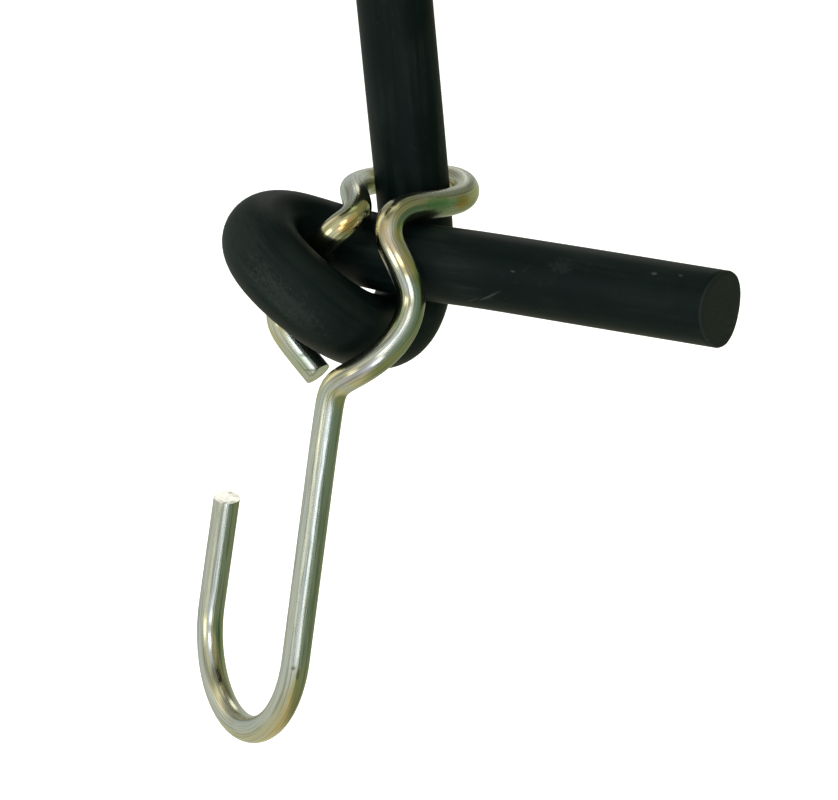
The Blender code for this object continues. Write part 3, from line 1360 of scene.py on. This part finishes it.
@dataclass
class Studio:
    """The camera, the pale floor and the soft lights."""

    focal: float = 89.36
    sensor: float = 36.0
    place: Point = (28.406 * MM, -239.603 * MM, -36.872 * MM)
    right: Point = (0.99530527, -0.02599029, -0.09323044)
    up: Point = (0.09654461, 0.33451279, 0.93743284)
    back: Point = (0.00682263, -0.94203275, 0.33545157)
    floor_height: float = -0.30
    floor_size: float = 12.0
    floor_glow: float = 0.60
    middle: Point = (0.02, 0.0, -0.11)
    FLOOR: ClassVar[Color] = (0.90, 0.90, 0.90, 1.0)
    FLOOR_PALE: ClassVar[Color] = (0.93, 0.93, 0.925, 1.0)
    WALL: ClassVar[Stops] = (
        (-180.0, 0.50, 0.54, 0.50),
        (-150.0, 0.48, 0.52, 0.48),
        (-110.0, 0.64, 0.66, 0.60),
        (-90.0, 0.71, 0.73, 0.69),
        (-65.0, 0.60, 0.63, 0.55),
        (-40.0, 0.74, 0.75, 0.69),
        (-25.0, 0.55, 0.60, 0.58),
        (-15.0, 0.66, 0.71, 0.74),
        (-3.0, 0.92, 0.99, 1.06),
        (5.0, 0.82, 0.88, 0.94),
        (15.0, 0.44, 0.48, 0.46),
        (26.0, 0.28, 0.34, 0.28),
        (42.0, 0.19, 0.26, 0.19),
        (70.0, 0.13, 0.20, 0.12),
        (92.0, 0.075, 0.13, 0.07),
        (110.0, 0.14, 0.23, 0.11),
        (130.0, 0.31, 0.35, 0.22),
        (180.0, 0.50, 0.54, 0.50),
    )
    LOFT: ClassVar[Stops] = (
        (-180.0, 0.40, 0.40, 0.37),
        (-140.0, 0.30, 0.31, 0.28),
        (-124.0, 0.60, 0.58, 0.48),
        (-113.0, 1.35, 1.22, 0.95),
        (-100.0, 0.90, 0.85, 0.66),
        (-86.0, 0.38, 0.38, 0.32),
        (-60.0, 0.52, 0.53, 0.45),
        (-40.0, 0.68, 0.69, 0.63),
        (-15.0, 0.66, 0.68, 0.65),
        (15.0, 0.66, 0.70, 0.66),
        (28.0, 0.48, 0.51, 0.46),
        (55.0, 0.42, 0.42, 0.28),
        (75.0, 0.26, 0.26, 0.15),
        (112.0, 0.21, 0.22, 0.12),
        (140.0, 0.19, 0.20, 0.13),
        (180.0, 0.40, 0.40, 0.37),
    )
    BELOW: ClassVar[Color] = (0.60, 0.59, 0.44, 1.0)
    BELOW_RIGHT: ClassVar[Color] = (0.22, 0.26, 0.15, 1.0)
    CEILING: ClassVar[Color] = (0.80, 0.78, 0.58, 1.0)
    CEILING_FRONT: ClassVar[Color] = (0.22, 0.23, 0.18, 1.0)
    # Each bright patch: its direction, its inner and outer radius in degrees, its colour.
    SPOTS: ClassVar[tuple[tuple[Point, float, float, Color], ...]] = (
        ((0.14, -1.0, 0.08), 4.0, 11.0, (3.2, 3.4, 3.6, 1.0)),
        ((0.08, -0.82, 0.56), 5.0, 12.0, (3.0, 3.15, 3.3, 1.0)),
        ((-0.62, -0.70, 0.30), 4.0, 12.0, (3.4, 3.3, 2.7, 1.0)),
        ((0.09, 0.83, 0.55), 7.0, 14.0, (1.5, 1.5, 1.42, 1.0)),
    )

    def add_camera(self) -> bpy.types.Object:
        """Set the camera that looks down on the lower knot.

        Returns:
            The camera.
        """
        data = bpy.data.cameras.new("camera")
        data.lens = self.focal
        data.sensor_width = self.sensor
        data.clip_start = 0.005
        data.clip_end = 20.0
        camera = bpy.data.objects.new("camera", data)
        turn = Matrix((self.right, self.up, self.back)).transposed().to_4x4()
        camera.matrix_world = Matrix.Translation(self.place) @ turn
        bpy.context.scene.collection.objects.link(camera)
        bpy.context.scene.camera = camera
        return camera

    def add_light(
        self, name: str, place: Point, size: float, power: float, color: Point
    ) -> None:
        """Add one soft light that faces the tie and shows in no reflection.

        Args:
            name: The light's name.
            place: Where it stands.
            size: Its width.
            power: Its power in watts.
            color: Its colour.
        """
        data = bpy.data.lights.new(name, "AREA")
        data.shape = "RECTANGLE"
        data.size = size
        data.size_y = size * 1.4
        data.energy = power
        data.color = color
        lamp = bpy.data.objects.new(name, data)
        lamp.location = place
        lamp.rotation_mode = "QUATERNION"
        lamp.rotation_quaternion = (Vector(self.middle) - Vector(place)).to_track_quat("-Z", "Y")
        lamp.visible_glossy = False
        bpy.context.scene.collection.objects.link(lamp)

    def add_floor(self, effects: SharedEffects) -> None:
        """Lay the pale floor well below the hanging tie.

        Args:
            effects: The shared groups.
        """
        bpy.ops.object.select_all(action="DESELECT")
        place = (0.0, 0.0, self.floor_height)
        bpy.ops.mesh.primitive_plane_add(size=self.floor_size, location=place)
        floor = bpy.context.object
        floor.name = "floor"
        nodes = Surface("floor_paint", effects)
        place = nodes.add("ShaderNodeTexCoord").outputs["Object"]
        noise = nodes.add("ShaderNodeTexNoise", Vector=place, Scale=6.0, Detail=3.0)
        nodes.give("Base Color", nodes.mix(noise.outputs[0], self.FLOOR, self.FLOOR_PALE))
        nodes.give("Roughness", 0.9)
        nodes.give("Specular IOR Level", 0.1)
        nodes.give("Emission Color", (1.0, 1.0, 1.0, 1.0))
        nodes.give("Emission Strength", self.floor_glow)
        floor.data.materials.append(nodes.material)
        floor.visible_glossy = False

    def add_ring(self, nodes: Nodes, share: Socket, stops: Stops) -> Socket:
        """Return the colour of a band of the room, from its stops all the way round.

        Args:
            nodes: The world's nodes.
            share: The direction as a share of a whole turn, from behind on the left.
            stops: Degrees to the right of the front, then red, green and blue.

        Returns:
            The band's colour.
        """
        wall = nodes.add("ShaderNodeValToRGB", Fac=share)
        ramp = wall.color_ramp
        ramp.interpolation = "EASE"
        while len(ramp.elements) < len(stops):
            ramp.elements.new(0.5)
        for element, (degrees, *color) in zip(ramp.elements, stops):
            element.position = degrees / 360.0 + 0.5
            element.color = (*color, 1.0)
        return wall.outputs[0]

    def add_world(self) -> None:
        """Surround the tie with a pale room whose front right side is dark and green."""
        world = bpy.data.worlds.new("studio")
        bpy.context.scene.world = world
        world.use_nodes = True
        tree = world.node_tree
        nodes = Nodes(tree)
        background = tree.nodes["Background"]
        ray = nodes.add("ShaderNodeTexCoord").outputs["Generated"]
        axes = nodes.add("ShaderNodeSeparateXYZ", Vector=ray)
        front = nodes.times(axes.outputs[1], -1.0)
        turn = nodes.math("ARCTAN2", axes.outputs[0], front)
        share = nodes.plus(nodes.math("DIVIDE", turn, 2 * math.pi), 0.5)
        wall = self.add_ring(nodes, share, self.WALL)
        loft = self.add_ring(nodes, share, self.LOFT)
        height = axes.outputs[2]
        floor = nodes.mix(nodes.ramp(axes.outputs[0], -0.05, 0.45), self.BELOW, self.BELOW_RIGHT)
        ceiling = nodes.mix(nodes.ramp(front, -0.05, 0.20), self.CEILING, self.CEILING_FRONT)
        color = nodes.mix(nodes.ramp(height, 0.14, 0.36), wall, loft)
        color = nodes.mix(nodes.ramp(height, -0.14, -0.50), color, floor)
        color = nodes.mix(nodes.ramp(height, 0.85, 0.95), color, ceiling)
        for aim, inner, outer, glow in self.SPOTS:
            near = nodes.add("ShaderNodeVectorMath", {"operation": "DOT_PRODUCT"}).outputs["Value"]
            tree.links.new(ray, near.node.inputs[0])
            near.node.inputs[1].default_value = Vector(aim).normalized()
            lit = nodes.ramp(near, math.cos(math.radians(outer)), math.cos(math.radians(inner)))
            color = nodes.mix(lit, color, glow)
        nodes.feed(background, "Color", color)
        background.inputs["Strength"].default_value = 1.0
        plain = nodes.add("ShaderNodeBackground", Color=(1.0, 1.0, 1.0, 1.0), Strength=1.05)
        seen = nodes.add("ShaderNodeLightPath").outputs["Is Camera Ray"]
        either = nodes.add("ShaderNodeMixShader")
        nodes.feed(either, 0, seen)
        nodes.feed(either, 1, background.outputs[0])
        nodes.feed(either, 2, plain.outputs[0])
        nodes.feed(tree.nodes["World Output"], "Surface", either.outputs[0])

    def light(self, effects: SharedEffects) -> None:
        """Add the floor, the surroundings and the soft lights.

        Args:
            effects: The shared groups.
        """
        self.add_floor(effects)
        self.add_world()
        self.add_light("window", (-0.60, -0.52, 0.36), 0.34, 5.0, (1.0, 0.985, 0.95))
        self.add_light("camera_side", (-0.10, -0.85, 0.06), 0.14, 1.2, (0.97, 0.99, 1.0))
        self.add_light("top", (0.10, 0.25, 0.95), 0.80, 5.0, (1.0, 1.0, 1.0))
        view = bpy.context.scene.view_settings
        view.view_transform = "Standard"
        view.look = "None"


# Places are two offsets across the piece, then the distance along it.
ROPE_MARKS: tuple[Mark, ...] = (
    # The first two marks paint a highlight on the front of the lower loop.
    Mark((0.0014, -0.0044, 0.1950), (0.0, 0.25, 0.97), 0.0015, 0.0050, 0.10, 3200.0, 2.0),
    Mark((0.0030, -0.0036, 0.2020), (0.3, 0.2, 0.93), 0.0022, 0.0060, 0.05, 1600.0, 1.6),
    Mark((-0.0022, 0.0042, 0.2399), (0.55, 0.25, 0.80), 0.00020, 0.0030, 0.30, 2600.0, 0.6),
    Mark((-0.0031, 0.0036, 0.2377), (0.50, 0.30, 0.81), 0.00014, 0.0018, 0.25, 2600.0, 0.6),
    Mark((0.0030, 0.0036, 0.2484), (0.2, 0.3, 0.93), 0.0012, 0.0022, 0.08, 2600.0, 1.5),
    Mark((0.0037, 0.0029, 0.2596), (0.0, 0.0, 1.0), 0.00030, 0.00045, 0.45, 2600.0, 0.5),
    Mark((0.0039, 0.0026, 0.2627), (0.0, 0.0, 1.0), 0.00022, 0.00035, 0.45, 2600.0, 0.5),
    Mark((0.0016, 0.0045, 0.2428), (0.0, 0.0, 1.0), 0.00018, 0.00040, 0.40, 2600.0, 0.5),
    Mark((-0.0014, 0.0044, 0.0732), (0.0, 0.25, 0.97), 0.0015, 0.0060, 0.12, 2200.0, 1.6),
    Mark((0.0042, -0.0022, 0.1446), (0.1, 0.1, 0.99), 0.0009, 0.0100, 0.10, 1500.0, 0.9),
)
LEAF: Color = (0.22, 0.46, 0.18, 1.0)
AMBER: Color = (0.80, 0.42, 0.07, 1.0)
VIOLET: Color = (0.40, 0.36, 0.52, 1.0)
WIRE_BLOOMS: tuple[Mark, ...] = (
    Mark((-0.0008, -0.0015, 0.1222), (0.0, 0.1, 0.99), 0.0014, 0.0034, 0.62, 1900.0, 1.2, LEAF),
    Mark((-0.0006, -0.0016, 0.1268), (0.0, 0.1, 0.99), 0.0012, 0.0022, 0.75, 1800.0, 0.60, AMBER),
    Mark((-0.0009, 0.0014, 0.1706), (0.0, 0.0, 1.0), 0.0010, 0.0014, 0.70, 1800.0, 0.60, AMBER),
    Mark((-0.0012, 0.0002, 0.1690), (0.0, 0.0, 1.0), 0.0010, 0.0018, 0.50, 1800.0, 0.60, LEAF),
    Mark((-0.0017, -0.0002, 0.1120), (0.0, 0.1, 0.99), 0.0008, 0.0050, 0.35, 1600.0, 1.2, AMBER),
    Mark((-0.0014, 0.0010, 0.1030), (0.0, 0.1, 0.99), 0.0007, 0.0060, 0.45, 1600.0, 0.60, LEAF),
    Mark((-0.0016, -0.0006, 0.0940), (0.0, 0.0, 1.0), 0.0008, 0.0050, 0.40, 1600.0, 0.60, VIOLET),
    Mark((-0.0008, -0.0015, 0.0480), (0.0, 0.0, 1.0), 0.0011, 0.0055, 0.28, 1600.0, 1.2, AMBER),
)
WIRE_NICKS: tuple[Mark, ...] = (
    Mark((-0.0015, -0.0008, 0.0545), (0.9, 0.1, 0.4), 0.00035, 0.0010, 0.90, 2800.0, 0.4),
    Mark((-0.0011, -0.0013, 0.0538), (0.0, 0.0, 1.0), 0.00030, 0.0009, 0.80, 2800.0, 0.5),
    Mark((-0.0012, 0.0012, 0.1915), (0.7, 0.2, 0.68), 0.00030, 0.0014, 0.85, 2800.0, 0.4),
    Mark((-0.0014, 0.0008, 0.1935), (0.3, 0.7, 0.64), 0.00028, 0.0012, 0.85, 2800.0, 0.4),
    Mark((-0.0012, 0.0012, 0.1950), (0.7, -0.3, 0.64), 0.00030, 0.0012, 0.80, 2800.0, 0.4),
    Mark((-0.0009, -0.0006, 0.0300), (0.0, 0.0, 1.0), 0.00025, 0.0006, 0.80, 2800.0, 0.4),
)


def report_piece(piece: bpy.types.Object, path: Path) -> None:
    """Log a piece's size."""
    faces = len(piece.data.polygons)
    LOG.info("%s: %d faces, %.1f mm long", piece.name, faces, path.length / MM)


def main() -> None:
    """Build the whole tie, in order, and report each piece."""
    logging.basicConfig(level=logging.INFO, format="%(name)s: %(message)s")
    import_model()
    layout = KnotLayout()
    studio = Studio()
    studio.add_camera()
    effects = SharedEffects()
    maker = RubberRope(layout)
    rope, rope_path = maker.build()
    maker.dress(rope, effects, ROPE_MARKS)
    maker.join(rope, rope_path)
    report_piece(rope, rope_path)
    upper, lower = layout.matrices()
    zinc = ZincFinish(marks=WIRE_NICKS, blooms=WIRE_BLOOMS).make(effects)
    sheared = ShearedZincFinish().make(effects)
    for body, matrix in ((Body.UPPER_HOOK, upper), (Body.LOWER_HOOK, lower)):
        hook = WireHook(layout, f"wire_{body.value}", body, matrix)
        wire, wire_path = hook.build()
        hook.dress(wire, wire_path, [zinc, sheared])
        hook.join(wire)
        report_piece(wire, wire_path)
    studio.light(effects)


if __name__ == "__main__":
    main()
